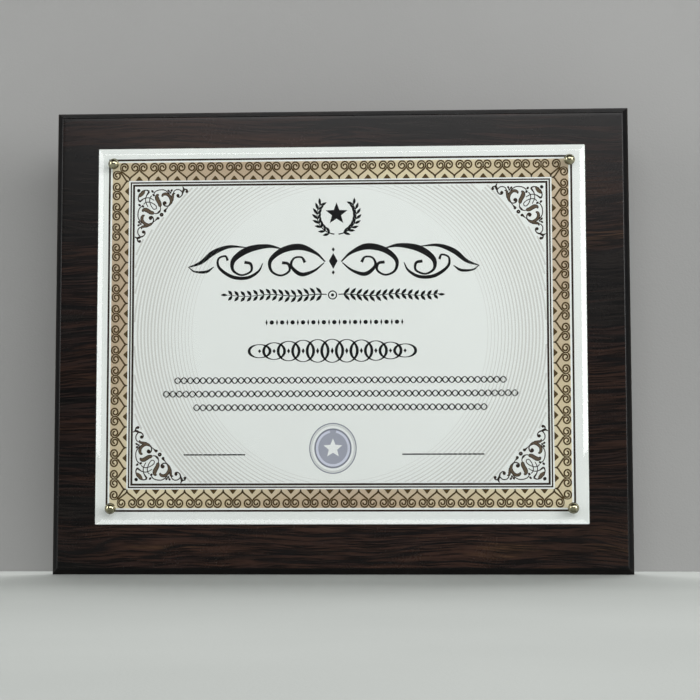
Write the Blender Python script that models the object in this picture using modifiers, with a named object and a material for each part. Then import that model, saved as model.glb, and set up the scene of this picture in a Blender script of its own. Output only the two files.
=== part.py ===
"""A certificate plaque: a bevelled board with a wood-grain face, a printed certificate laid on it, and a clear
bevelled cover plate that four brass-capped tacks hold down. The back has a routed keyhole for each way up.

Run it with: blender --background --python part.py
Units are metres. +Z is up and the certificate faces -Y. The origin is the middle of the plaque's footprint.
"""

import math

import bmesh
import bpy

# The certificate, a letter-size sheet, 11 x 8.5 inches. The clear cover is cut to the same outline.
SHEET_WIDTH = 0.2794
SHEET_HEIGHT = 0.2159
SHEET_THICKNESS = 0.00025

# The board is one inch larger than the sheet all round, 13 x 10.5 x 3/4 inches over all, and the sheet, its cover and
# the tacks sit a little above its middle.
BOARD_MARGIN = 0.0254
BOARD_THICKNESS = 0.01905
BOARD_BEVEL = 0.0037
SHEET_RAISED = 0.003
LAMINATE_THICKNESS = 0.0008
BACK_LAMINATE_SETBACK = 0.0005
GLUE_LINE = 0.0001

# The cover's front edges slope at a low angle, down to a straight edge.
COVER_THICKNESS = 0.003
COVER_BEVEL_WIDTH = 0.0033
COVER_BEVEL_DEPTH = 0.0016

# A tack: a steel pin whose round plate is crimped into a domed brass cap.
TACK_INSET = 0.009
CAP_RADIUS = 0.003175
CAP_HEIGHT = 0.0032
CAP_RIM_HEIGHT = 0.0005
CAP_WALL = 0.0004
CAP_MOUTH_RADIUS = 0.0018
CRIMP_GAP = 0.0001
PIN_RADIUS = 0.0008
PIN_PLATE_THICKNESS = 0.0006
PIN_DEPTH_IN_BOARD = 0.009
PIN_POINT_LENGTH = 0.0016
PIN_CLEARANCE = 0.00015
DRILL_POINT_ROOM = 0.001

# A routed keyhole: a wide entry, and a narrow neck over a wide hollow for a wall screw's head.
KEYHOLE_ENTRY_RADIUS = 0.005
KEYHOLE_HEAD_RADIUS = 0.00475
KEYHOLE_NECK_RADIUS = 0.0025
KEYHOLE_HEAD_ROOM = 0.0048
KEYHOLE_DEPTH = 0.010
KEYHOLE_TRAVEL = 0.014
KEYHOLE_EDGE_DISTANCE = 0.026

# The gap between pieces that lift apart, how far a cutter runs past the face that it cuts, and the distance under
# which two corners are one.
SEAT_GAP = 0.0003
CUTTER_OVERRUN = 0.002
MERGE_DISTANCE = 0.000001

# How finely round pieces are divided.
CAP_SIDES = 24
CAP_ARC_STEPS = 6
PIN_SIDES = 16
KEYHOLE_SIDES = 24

# The outline of the board.
BOARD_WIDTH = SHEET_WIDTH + 2 * BOARD_MARGIN
BOARD_HEIGHT = SHEET_HEIGHT + 2 * BOARD_MARGIN
BOARD_MIDDLE_Z = BOARD_HEIGHT / 2
SHEET_MIDDLE_Z = BOARD_MIDDLE_Z + SHEET_RAISED

# The layers, from the back (+Y) to the front (-Y).
TOTAL_DEPTH = (
    BOARD_THICKNESS + SHEET_THICKNESS + COVER_THICKNESS + CAP_HEIGHT + 3 * SEAT_GAP
)
BOARD_BACK_Y = TOTAL_DEPTH / 2
BOARD_FRONT_Y = BOARD_BACK_Y - BOARD_THICKNESS
CORE_BACK_Y = BOARD_BACK_Y - LAMINATE_THICKNESS - GLUE_LINE
CORE_FRONT_Y = BOARD_FRONT_Y + LAMINATE_THICKNESS + GLUE_LINE
SHEET_BACK_Y = BOARD_FRONT_Y - SEAT_GAP
SHEET_FRONT_Y = SHEET_BACK_Y - SHEET_THICKNESS
COVER_BACK_Y = SHEET_FRONT_Y - SEAT_GAP
COVER_FRONT_Y = COVER_BACK_Y - COVER_THICKNESS
TACK_SEAT_Y = COVER_FRONT_Y - SEAT_GAP

CORNERS = {
    "top_left": (-1, 1),
    "top_right": (1, 1),
    "bottom_left": (-1, -1),
    "bottom_right": (1, -1),
}


def clear_scene():
    for obj in list(bpy.data.objects):
        bpy.data.objects.remove(obj, do_unlink=True)


def make_collection(name):
    collection = bpy.data.collections.new(name)
    bpy.context.scene.collection.children.link(collection)
    return collection


def make_material(name, colour, roughness, metallic=0.0, alpha=1.0):
    material = bpy.data.materials.new(name)
    material.use_nodes = True
    shader = material.node_tree.nodes["Principled BSDF"]
    shader.inputs["Base Color"].default_value = (*colour, 1.0)
    shader.inputs["Roughness"].default_value = roughness
    shader.inputs["Metallic"].default_value = metallic
    shader.inputs["Alpha"].default_value = alpha
    material.diffuse_color = (*colour, alpha)
    return material


def mesh_from(bm, name):
    mesh = bpy.data.meshes.new(name)
    bm.to_mesh(mesh)
    bm.free()
    return mesh


def add_object(name, mesh, material, collection, location):
    obj = bpy.data.objects.new(name, mesh)
    obj.location = location
    if material is not None:
        mesh.materials.append(material)
    collection.objects.link(obj)
    return obj


def add_plate(
    name,
    size,
    front_y,
    back_y,
    material,
    collection,
    middle_z=BOARD_MIDDLE_Z,
    bevel=None,
):
    """A flat plate, size = (width, height), with its middle at middle_z. bevel is the (width, depth) of the slope
    along its front edges, which may take the whole of the plate's thickness."""
    width, height = size
    bm = bmesh.new()
    bmesh.ops.create_cube(bm, size=1.0)
    bmesh.ops.scale(bm, vec=(width, back_y - front_y, height), verts=bm.verts)
    if bevel is not None:
        slope_width, slope_depth = bevel
        front = min(bm.faces, key=lambda face: face.calc_center_median().y)
        slopes = bmesh.ops.inset_region(
            bm, faces=[front], thickness=slope_width, use_even_offset=True
        )["faces"]
        edge = {vert for face in slopes for vert in face.verts} - set(front.verts)
        bmesh.ops.translate(bm, verts=list(edge), vec=(0, slope_depth, 0))
        bmesh.ops.remove_doubles(bm, verts=bm.verts, dist=MERGE_DISTANCE)
    place = (0, (front_y + back_y) / 2, middle_z)
    return add_object(name, mesh_from(bm, name), material, collection, place)


def add_turned(name, profile, sides, material, collection):
    """A solid turned about its own Z axis. The profile's (radius, height) points run down the outer side and come
    back to the axis."""
    mesh = bpy.data.meshes.new(name)
    points = [(radius, 0, height) for radius, height in profile]
    edges = [(i, i + 1) for i in range(len(points) - 1)]
    mesh.from_pydata(points, edges, [])
    obj = add_object(name, mesh, material, collection, (0, 0, 0))
    screw = obj.modifiers.new("turn", "SCREW")
    screw.angle = 2 * math.pi
    screw.steps = sides
    screw.render_steps = sides
    screw.use_merge_vertices = True
    screw.merge_threshold = MERGE_DISTANCE
    return obj


def add_cutter(name, start, end, radius, front_y, back_y, sides, collection):
    """A cutter along Y: a slot with round ends from start to end, both (x, z), or a round hole where they are one
    point. It is the hull of the rims of its ends."""
    bm = bmesh.new()
    for x, z in sorted({start, end}):
        for step in range(sides):
            turn = 2 * math.pi * step / sides
            rim_x = x + radius * math.cos(turn)
            rim_z = z + radius * math.sin(turn)
            bm.verts.new((rim_x, front_y, rim_z))
            bm.verts.new((rim_x, back_y, rim_z))
    hull = bmesh.ops.convex_hull(bm, input=bm.verts)
    unused = hull["geom_interior"] + hull["geom_unused"]
    inside = {item for item in unused if isinstance(item, bmesh.types.BMVert)}
    bmesh.ops.delete(bm, geom=list(inside), context="VERTS")
    bmesh.ops.dissolve_limit(
        bm, angle_limit=math.radians(1), verts=bm.verts, edges=bm.edges
    )
    bmesh.ops.recalc_face_normals(bm, faces=bm.faces)
    cutter = add_object(name, mesh_from(bm, name), None, collection, (0, 0, 0))
    cutter.hide_render = True
    cutter.display_type = "WIRE"


def cut_with(obj, collection):
    cut = obj.modifiers.new("cut_" + collection.name, "BOOLEAN")
    cut.operation = "DIFFERENCE"
    cut.operand_type = "COLLECTION"
    cut.collection = collection
    cut.solver = "EXACT"


def tack_place(side_x, side_z):
    """The (x, z) place of a tack, set in from the cover's edges."""
    x = side_x * (SHEET_WIDTH / 2 - TACK_INSET)
    z = SHEET_MIDDLE_Z + side_z * (SHEET_HEIGHT / 2 - TACK_INSET)
    return x, z


def add_tack_drills(collection):
    """One drill for each tack runs through the cover and the sheet and ends blind in the board."""
    front_y = COVER_FRONT_Y - CUTTER_OVERRUN
    blind_y = BOARD_FRONT_Y + PIN_DEPTH_IN_BOARD + DRILL_POINT_ROOM
    radius = PIN_RADIUS + PIN_CLEARANCE
    for corner, sides in CORNERS.items():
        name = "drill_" + corner
        place = tack_place(*sides)
        add_cutter(name, place, place, radius, front_y, blind_y, PIN_SIDES, collection)


def add_keyhole_cutters(name, hang_point, towards_entry, collection):
    """The keyhole's entry, neck and hollow. The wall screw ends up at hang_point, an (x, z), and towards_entry is the
    unit step from there to the entry."""
    hang_x, hang_z = hang_point
    step_x, step_z = towards_entry
    entry = (hang_x + step_x * KEYHOLE_TRAVEL, hang_z + step_z * KEYHOLE_TRAVEL)
    floor_y = BOARD_BACK_Y - KEYHOLE_DEPTH
    hollow_y = floor_y + KEYHOLE_HEAD_ROOM
    open_y = BOARD_BACK_Y + CUTTER_OVERRUN
    shapes = {
        "entry": (entry, entry, KEYHOLE_ENTRY_RADIUS, open_y),
        "neck": (hang_point, entry, KEYHOLE_NECK_RADIUS, open_y),
        "hollow": (hang_point, entry, KEYHOLE_HEAD_RADIUS, hollow_y),
    }
    for part, (start, end, radius, back_y) in shapes.items():
        cutter_name = f"{name}_{part}"
        add_cutter(
            cutter_name, start, end, radius, floor_y, back_y, KEYHOLE_SIDES, collection
        )


def add_keyholes(collection):
    """One keyhole near the top edge for landscape, and one near the left edge, seen from the front, for portrait."""
    top = (0.0, BOARD_HEIGHT - KEYHOLE_EDGE_DISTANCE)
    side = (KEYHOLE_EDGE_DISTANCE - BOARD_WIDTH / 2, BOARD_MIDDLE_Z)
    add_keyhole_cutters("landscape_keyhole", top, (0, -1), collection)
    add_keyhole_cutters("portrait_keyhole", side, (1, 0), collection)


def add_core(collection, drills, keyholes, material):
    """The board's core carries on the slope that starts at the face laminate's front edge."""
    size = (BOARD_WIDTH, BOARD_HEIGHT)
    slope = BOARD_BEVEL - LAMINATE_THICKNESS - GLUE_LINE
    core = add_plate(
        "board_core",
        size,
        CORE_FRONT_Y,
        CORE_BACK_Y,
        material,
        collection,
        bevel=(slope, slope),
    )
    cut_with(core, drills)
    cut_with(core, keyholes)


def add_face_laminate(collection, drills, material):
    """The face laminate's whole edge is part of the board's slope."""
    inset = BOARD_BEVEL - LAMINATE_THICKNESS
    size = (BOARD_WIDTH - 2 * inset, BOARD_HEIGHT - 2 * inset)
    back_y = BOARD_FRONT_Y + LAMINATE_THICKNESS
    slope = (LAMINATE_THICKNESS, LAMINATE_THICKNESS)
    face = add_plate(
        "face_laminate", size, BOARD_FRONT_Y, back_y, material, collection, bevel=slope
    )
    cut_with(face, drills)


def add_back_laminate(collection, keyholes, material):
    """The back laminate stops just short of the board's edges."""
    size = (
        BOARD_WIDTH - 2 * BACK_LAMINATE_SETBACK,
        BOARD_HEIGHT - 2 * BACK_LAMINATE_SETBACK,
    )
    front_y = BOARD_BACK_Y - LAMINATE_THICKNESS
    back = add_plate("back_laminate", size, front_y, BOARD_BACK_Y, material, collection)
    cut_with(back, keyholes)


def add_sheet(collection, drills, material):
    size = (SHEET_WIDTH, SHEET_HEIGHT)
    sheet = add_plate(
        "certificate_sheet",
        size,
        SHEET_FRONT_Y,
        SHEET_BACK_Y,
        material,
        collection,
        middle_z=SHEET_MIDDLE_Z,
    )
    cut_with(sheet, drills)


def add_cover(collection, drills, material):
    size = (SHEET_WIDTH, SHEET_HEIGHT)
    slope = (COVER_BEVEL_WIDTH, COVER_BEVEL_DEPTH)
    cover = add_plate(
        "cover_plate",
        size,
        COVER_FRONT_Y,
        COVER_BACK_Y,
        material,
        collection,
        middle_z=SHEET_MIDDLE_Z,
        bevel=slope,
    )
    cut_with(cover, drills)


def dome(radius, rise, base):
    """Points of a quarter of an ellipse, from its top on the axis down to its full radius."""
    turns = [math.pi / 2 * (1 - i / CAP_ARC_STEPS) for i in range(1, CAP_ARC_STEPS + 1)]
    slope = [(radius * math.cos(turn), base + rise * math.sin(turn)) for turn in turns]
    return [(0.0, base + rise), *slope]


def cap_profile():
    """The cap's outer dome and rim, the lip crimped under the pin's plate, and the inside of the dome."""
    rise = CAP_HEIGHT - CAP_RIM_HEIGHT
    inner_radius = CAP_RADIUS - CAP_WALL
    lip = [
        (CAP_RADIUS, 0.0),
        (CAP_MOUTH_RADIUS, 0.0),
        (CAP_MOUTH_RADIUS, CAP_WALL),
        (inner_radius, CAP_WALL),
    ]
    outside = dome(CAP_RADIUS, rise, CAP_RIM_HEIGHT)
    inside = dome(inner_radius, rise - CAP_WALL, CAP_RIM_HEIGHT)
    return outside + lip + inside[::-1]


def pin_profile():
    """The round plate that fills the cap's inside, the shank, and the point, which ends in the board."""
    plate_bottom = CAP_WALL + CRIMP_GAP
    plate_top = plate_bottom + PIN_PLATE_THICKNESS
    inner_rise = CAP_HEIGHT - CAP_RIM_HEIGHT - CAP_WALL
    height_in_dome = max(plate_top - CAP_RIM_HEIGHT, 0.0) / inner_rise
    room_radius = (CAP_RADIUS - CAP_WALL) * math.sqrt(1 - height_in_dome**2)
    plate_radius = room_radius - 2 * CRIMP_GAP
    tip = TACK_SEAT_Y - BOARD_FRONT_Y - PIN_DEPTH_IN_BOARD
    return [
        (0.0, plate_top),
        (plate_radius, plate_top),
        (plate_radius, plate_bottom),
        (PIN_RADIUS, plate_bottom),
        (PIN_RADIUS, tip + PIN_POINT_LENGTH),
        (0.0, tip),
    ]


def add_tacks(collection, brass, steel):
    """Each tack's cap and pin sit on an empty on the tack's axis, whose +Z points out of the plaque."""
    for corner, sides in CORNERS.items():
        x, z = tack_place(*sides)
        axis = bpy.data.objects.new("tack_axis_" + corner, None)
        axis.location = (x, TACK_SEAT_Y, z)
        axis.rotation_euler = (math.pi / 2, 0, 0)
        collection.objects.link(axis)
        cap_name = "tack_cap_" + corner
        pin_name = "tack_pin_" + corner
        cap = add_turned(cap_name, cap_profile(), CAP_SIDES, brass, collection)
        pin = add_turned(pin_name, pin_profile(), PIN_SIDES, steel, collection)
        cap.parent = axis
        pin.parent = axis


def main():
    clear_scene()
    plaque = make_collection("certificate_plaque")
    drills = make_collection("tack_drills")
    keyholes = make_collection("keyhole_cutters")
    add_tack_drills(drills)
    add_keyholes(keyholes)

    edge_paint = make_material("edge_paint", (0.010, 0.009, 0.009), 0.45)
    walnut = make_material("dark_walnut_laminate", (0.030, 0.017, 0.013), 0.35)
    backing = make_material("backing_laminate", (0.022, 0.018, 0.016), 0.6)
    paper = make_material("certificate_paper", (0.80, 0.82, 0.81), 0.8)
    acrylic = make_material("clear_acrylic", (0.90, 0.93, 0.92), 0.05, alpha=0.25)
    brass = make_material("polished_brass", (0.62, 0.50, 0.24), 0.18, metallic=1.0)
    steel = make_material("plated_steel", (0.55, 0.55, 0.53), 0.35, metallic=1.0)

    add_core(plaque, drills, keyholes, edge_paint)
    add_face_laminate(plaque, drills, walnut)
    add_back_laminate(plaque, keyholes, backing)
    add_sheet(plaque, drills, paper)
    add_cover(plaque, drills, acrylic)
    add_tacks(plaque, brass, steel)


main()
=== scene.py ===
# %% [markdown]
# # A certificate plaque, dressed for its picture
#
# The plaque is a dark wood-grain board with a bevelled front edge. A printed certificate lies on it
# under a clear cover plate with sloped, polished edges, and four brass-capped tacks hold the cover
# down. It stands upright on a pale table in front of a grey wall.
#
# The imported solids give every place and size. Each one is replaced here by a finer piece in the
# same place, and the print of the certificate is added on top of the sheet as thin layers of ink.

import math

import bmesh
import bpy
import numpy as np
from mathutils import Euler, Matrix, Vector


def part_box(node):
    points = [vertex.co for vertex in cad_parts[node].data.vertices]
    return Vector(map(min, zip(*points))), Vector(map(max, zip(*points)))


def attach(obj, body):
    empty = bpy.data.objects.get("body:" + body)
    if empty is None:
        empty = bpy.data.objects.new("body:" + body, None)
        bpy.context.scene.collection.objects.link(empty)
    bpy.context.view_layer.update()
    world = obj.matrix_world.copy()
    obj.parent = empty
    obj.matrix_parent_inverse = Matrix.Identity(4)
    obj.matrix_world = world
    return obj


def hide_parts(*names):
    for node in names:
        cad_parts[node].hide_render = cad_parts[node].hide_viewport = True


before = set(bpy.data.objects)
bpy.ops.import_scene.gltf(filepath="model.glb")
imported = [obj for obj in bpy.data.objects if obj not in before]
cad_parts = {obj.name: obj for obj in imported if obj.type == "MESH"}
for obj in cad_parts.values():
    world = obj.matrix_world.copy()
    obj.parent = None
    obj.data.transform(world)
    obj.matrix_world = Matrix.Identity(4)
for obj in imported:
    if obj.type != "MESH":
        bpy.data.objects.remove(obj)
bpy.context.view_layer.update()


# %% [markdown]
# ## The places that the other cells use
#
# Lengths are in metres and MM is one millimetre. The paper plane has u to the right and v up, with
# its middle at the middle of the sheet. The front of each layer comes from the solids, so nothing
# here has to be fitted by hand.

# %% Places of the layers
MM = 0.001
CORNERS = {
    "top_left": (-1, 1),
    "top_right": (1, 1),
    "bottom_left": (-1, -1),
    "bottom_right": (1, -1),
}
board_low, board_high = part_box("board_core")
face_low, face_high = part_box("face_laminate")
back_low, back_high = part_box("back_laminate")
sheet_low, sheet_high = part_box("certificate_sheet")
cover_low, cover_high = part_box("cover_plate")
BOARD_HALF_WIDTH = board_high.x
BOARD_MIDDLE = (board_low.z + board_high.z) / 2
SHEET_MIDDLE = (sheet_low.z + sheet_high.z) / 2
PAPER_FRONT = sheet_low.y
print("paper front:", PAPER_FRONT, "middle height:", SHEET_MIDDLE)

# %% [markdown]
# ## The camera
#
# The photograph was taken from just above the table with a long lens, tilted up a few degrees: the
# sides of the board lean together a little towards the top. The place and the turns come from a fit
# of the outlines of the board and the cover. A focal length in pixels of the 700 pixel wide picture
# becomes millimetres of a 36 mm wide sensor.

# %% Camera
PICTURE_SIDE = 700
FOCAL_PIXELS = 1800
SENSOR_WIDTH = 36.0
FROM_BOARD = 1.0211
TILT_UP, ROLL, TURN = 5.02, 0.07, 2.66
camera_data = bpy.data.cameras.new("photo_camera")
camera = bpy.data.objects.new("photo_camera", camera_data)
bpy.context.scene.collection.objects.link(camera)
camera_data.sensor_width = SENSOR_WIDTH
camera_data.lens = FOCAL_PIXELS * SENSOR_WIDTH / PICTURE_SIDE
camera_data.clip_start = 0.01
camera.location = (0.0526, -FROM_BOARD + face_low.y, 0.0375)
turns = (math.radians(90 + TILT_UP), math.radians(ROLL), math.radians(TURN))
camera.rotation_euler = Euler(turns, "XYZ")
bpy.context.scene.camera = camera
print("lens in mm:", camera_data.lens)

# %% [markdown]
# ## Surfaces from rings
#
# Nearly every piece here is a row of rings: a plate is a rectangle that shrinks and grows along its
# edge profile, a tack cap is a circle that does so along its dome, and a stroke of ink is a small
# flat rectangle that follows a line. So one helper joins rings into a closed skin. Each ring is an
# array of points, and the rings stand behind each other in one big array, which makes the faces
# plain index arithmetic.


# %% Closed skins
def ring_skin(rings, loop=False, ends=True):
    """Joins rings, an array (rings, points, 3), into a skin of quads. Face (i, c) has the corners
    (i, c), (i, c+1), (i+1, c+1), (i+1, c). A loop closes on itself. Otherwise both ends get one
    flat face, unless they need none."""
    count, around, _ = rings.shape
    index = np.arange(count * around).reshape(count, around)
    here = index if loop else index[:-1]
    there = np.roll(index, -1, axis=0)[: len(here)]
    corners = [here, np.roll(here, -1, axis=1), np.roll(there, -1, axis=1), there]
    faces = np.stack(corners, axis=-1).reshape(-1, 4).tolist()
    if ends and not loop:
        faces += [index[0, ::-1].tolist(), index[-1].tolist()]
    return rings.reshape(-1, 3), faces


def joined(skins):
    """Several skins as one. Each face's numbers move on by the points in front of its own."""
    starts = np.cumsum([0] + [len(points) for points, _ in skins]).tolist()
    faces = [[c + start for c in face] for (_, own), start in zip(skins, starts) for face in own]
    return np.concatenate([points for points, _ in skins]), faces


# %% [markdown]
# A skin becomes a piece in one more step: a mesh, a finish, the solid that it stands for, and the
# body that it moves with. Shading is smooth, and edges sharper than an angle stay crisp.

# %% Pieces
SMOOTH_ANGLE = math.radians(35)


def in_scene(name, data):
    """A new object in the scene that shows some data."""
    shown = bpy.data.objects.new(name, data)
    bpy.context.scene.collection.objects.link(shown)
    return shown


def make_mesh(name, skin, material, merge=False):
    """A mesh from points and faces. With merge, points closer than a micrometre become one, which
    closes poles."""
    points, faces = skin
    mesh = bpy.data.meshes.new(name)
    mesh.from_pydata(points, [], faces)
    if merge:
        bm = bmesh.new()
        bm.from_mesh(mesh)
        bmesh.ops.remove_doubles(bm, verts=bm.verts, dist=1e-6)
        bm.to_mesh(mesh)
        bm.free()
    mesh.materials.append(material)
    mesh.shade_smooth()
    mesh.set_sharp_from_angle(angle=SMOOTH_ANGLE)
    return mesh


def make_piece(name, skin, material, body, node=None, merge=False):
    """An object with that mesh at the origin, which rides on a body and may stand for a solid."""
    piece = in_scene(name, make_mesh(name, skin, material, merge))
    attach(piece, body)
    if node is not None:
        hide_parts(node)
    triangles = sum(len(face.vertices) - 2 for face in piece.data.polygons)
    print(f"{name}: {triangles} triangles")
    return piece


# %% [markdown]
# ## Small helpers for the finishes
#
# A finish is a net of shader nodes. Written node by node, it is long and hard to read, so a
# number that a node gives is wrapped as a Value here: adding, multiplying or comparing Values
# places the Math nodes and links them. Plain numbers and colours are written on the sockets.


# %% Values and nodes
class Value:
    """A number, colour or place that a shader node gives. Arithmetic on it places Math nodes in the
    same net."""

    def __init__(self, socket):
        self.socket = socket

    def step(self, operation, *others):
        """One Math node with this number first and the others behind it."""
        return put("Math", {0: self, **dict(enumerate(others, 1))}, operation=operation)[0]

    def __add__(self, other):
        return self.step("ADD", other)

    def __sub__(self, other):
        return self.step("SUBTRACT", other)

    def __rsub__(self, other):
        return put("Math", {0: other, 1: self}, operation="SUBTRACT")[0]

    def __mul__(self, other):
        return self.step("MULTIPLY", other)

    def __abs__(self):
        return self.step("ABSOLUTE")

    def over(self, limit):
        """1 where this number is greater than the limit, and 0 elsewhere."""
        return self.step("GREATER_THAN", limit)


class Placed:
    """A placed shader node. A name or number in square brackets gives that output as a Value."""

    def __init__(self, node):
        self.node = node

    def __getitem__(self, key):
        return Value(self.node.outputs[key])


def fill(node, inputs):
    """Links a Value to its socket, and writes a number or a colour on it."""
    for key, value in inputs.items():
        socket = node.inputs[key]
        if isinstance(value, Value):
            node.id_data.links.new(value.socket, socket)
        else:
            socket.default_value = (*value, 1) if socket.type == "RGBA" else value


def put(kind, inputs, tree=None, **settings):
    """Places a shader node. Its net is given, or found from the Values among its inputs."""
    if tree is None:
        tree = next(v.socket.id_data for v in inputs.values() if isinstance(v, Value))
    node = tree.nodes.new("ShaderNode" + kind)
    for key, value in settings.items():
        setattr(node, key, value)
    fill(node, inputs)
    return Placed(node)


# %% [markdown]
# These nodes come again and again: a mix of two colours, a range stretched to another one, a cloudy
# noise, the same noise drawn out along one direction, and a height that tilts the light.


# %% Node helpers
def mixed(share, first, second, mode="MIX"):
    """A colour that goes from the first to the second as share goes from 0 to 1."""
    return put("Mix", {0: share, 6: first, 7: second}, data_type="RGBA", blend_type=mode)[2]


def between(value, low, high, to_low=0.0, to_high=1.0):
    """Stretches value so that low becomes to_low and high becomes to_high, and stops there."""
    return put("MapRange", {0: value, 1: low, 2: high, 3: to_low, 4: to_high})[0]


def noise(place, scale, detail=2.0, roughness=0.5):
    """A cloudy pattern from 0 to 1 with scale clouds to a metre."""
    inputs = {"Vector": place, "Scale": scale, "Detail": detail, "Roughness": roughness}
    return put("TexNoise", inputs)["Fac"]


def drawn_out(place, scale, *rest):
    """Noise on places squeezed along x, y and z: the smaller a scale, the longer its clouds."""
    return noise(put("Mapping", {"Vector": place, "Scale": scale})[0], *rest)


def bump(height, distance):
    """A tilt that follows a height from 0 to 1, with distance metres between the two."""
    return put("Bump", {"Height": height, "Distance": distance})[0]


def along_axes(place):
    """The x, y and z of a place, as three Values."""
    parts = put("SeparateXYZ", {0: place})
    return parts["X"], parts["Y"], parts["Z"]


# %% [markdown]
# Patterns that more than one finish uses are kept as groups with named inputs and outputs. A group
# is built once, by a function from its inputs to its outputs, and placed in each finish with its
# own values. The shader itself stays in the finish.

# %% Finish and group makers
SOCKET_KINDS = {"VALUE": "NodeSocketFloat", "RGBA": "NodeSocketColor"}


def new_finish(name):
    """A material, its Principled shader, and the place on the piece as a Value."""
    material = bpy.data.materials.new(name)
    material.use_nodes = True
    tree = material.node_tree
    return material, tree.nodes["Principled BSDF"], put("TexCoord", {}, tree)["Object"]


def set_shader(shader, **values):
    """Writes or links the shader's inputs. An underscore in a name stands for a space."""
    fill(shader, {key.replace("_", " "): value for key, value in values.items()})


def new_group(name, kinds, work):
    """A group whose inputs have these names and kinds. work takes them as Values and gives its
    outputs by name."""
    group = bpy.data.node_groups.new(name, "ShaderNodeTree")
    add = group.interface.new_socket
    for key, kind in kinds.items():
        add(name=key, in_out="INPUT", socket_type="NodeSocket" + kind)
    coming = Placed(group.nodes.new("NodeGroupInput"))
    results = work(*[coming[key] for key in kinds])
    for key, value in results.items():
        add(name=key, in_out="OUTPUT", socket_type=SOCKET_KINDS[value.socket.type])
    fill(group.nodes.new("NodeGroupOutput"), results)
    print("group:", name, len(group.nodes), "nodes")
    return group


def use(group, **inputs):
    """Places a group in a finish."""
    return put("Group", inputs, node_tree=group)


# %% [markdown]
# ## Patterns shared by the finishes
#
# Wood figure: a noise that is long along the board and narrow across it gives streaks. Bending the
# places with a broader noise first makes them slant, wander and close into long arches, as the
# grain of walnut does. The group gives three widths of the same idea, bands as wide as a finger,
# streaks of a few millimetres and fine fibres, and also veins: thin lines where a slow noise
# crosses its middle value.


# %% Wood figure group
def figure_of_wood(place, wander):
    """Bands, streaks and fibres are noise on bent places, drawn out along x. A vein is where a slow
    noise is nearly one half."""
    bend = drawn_out(place, (4.5, 1, 11), 1.0, 3.0)
    shift = put("CombineXYZ", {"Z": (bend - 0.5) * wander})[0]
    bent = put("VectorMath", {0: place, 1: shift}, operation="ADD")[0]
    slow = drawn_out(bent, (5, 2, 90), 1.0)
    return {
        "Bands": drawn_out(bent, (1.7, 1, 44), 1.0, 4.0, 0.62),
        "Streaks": drawn_out(bent, (14, 3, 300), 1.0, 4.0, 0.6),
        "Fibres": drawn_out(bent, (36, 9, 940), 1.0, 3.0, 0.65),
        "Veins": between(abs(slow - 0.5), 0.004, 0.022, 1.0, 0.0),
    }


wood_inputs = {"Vector": "Vector", "Wander": "Float"}
wood_figure = new_group("wood_figure", wood_inputs, figure_of_wood)

# %% [markdown]
# Handling: nothing that has been made, packed and set up is evenly smooth. A broad cloud stands for
# faint smears and a fine one for dust and small marks. The group gives both as one number, round
# one half.


# %% Handling group
def marks_of_handling(place, fine):
    """Six tenths of the broad cloud and four tenths of the fine one."""
    smears = noise(place, 38.0, 3.0, 0.6)
    return {"Marks": smears * 0.6 + noise(place, fine) * 0.4}


handling_inputs = {"Vector": "Vector", "Fine": "Float"}
handling = new_group("handling", handling_inputs, marks_of_handling)

# %% [markdown]
# Ink: an office printer lays its ink into the paper's fibres, so a flat tint is never quite flat.
# The group takes the ink's colour and gives it back with a fine mottle, with the paper's fibres as
# a height.

# %% Ink group
FIBRE_COLOUR = (0.78, 0.80, 0.78)


def ink_in_fibres(place, ink, mottle):
    """The ink's colour goes towards the fibres' colour by fibres plus clouds, times the mottle."""
    fibres = drawn_out(place, (1, 1, 1.6), 2600.0, 3.0)
    clouds = noise(place, 260.0)
    share = (between(fibres, 0.35, 0.65) + clouds) * mottle
    return {
        "Color": mixed(share, ink, FIBRE_COLOUR),
        "Height": fibres,
        "Roughness": between(clouds, 0.3, 0.7, 0.5, 0.66),
    }


ink_inputs = {"Vector": "Vector", "Ink": "Color", "Mottle": "Float"}
ink_on_card = new_group("ink_on_card", ink_inputs, ink_in_fibres)

# %% [markdown]
# Polish: a metal that was turned, plated and polished keeps hairlines too fine to see one by one.
# They show as a slightly uneven gloss, so the group gives a roughness and a very low height.


# %% Polish group
def hairlines_and_bloom(place, smoothest, dullest):
    """The roughness follows the mean of the hairlines and of a cloudy bloom, the tarnish."""
    hairlines = drawn_out(place, (1, 7, 1), 3800.0, 3.0)
    bloom = noise(place, 420.0, 3.0, 0.6)
    gloss = between((hairlines + bloom) * 0.5, 0.35, 0.65, smoothest, dullest)
    return {"Roughness": gloss, "Height": hairlines, "Tarnish": bloom}


polish_inputs = {"Vector": "Vector", "Smoothest": "Float", "Dullest": "Float"}
polish = new_group("polish", polish_inputs, hairlines_and_bloom)
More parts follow.
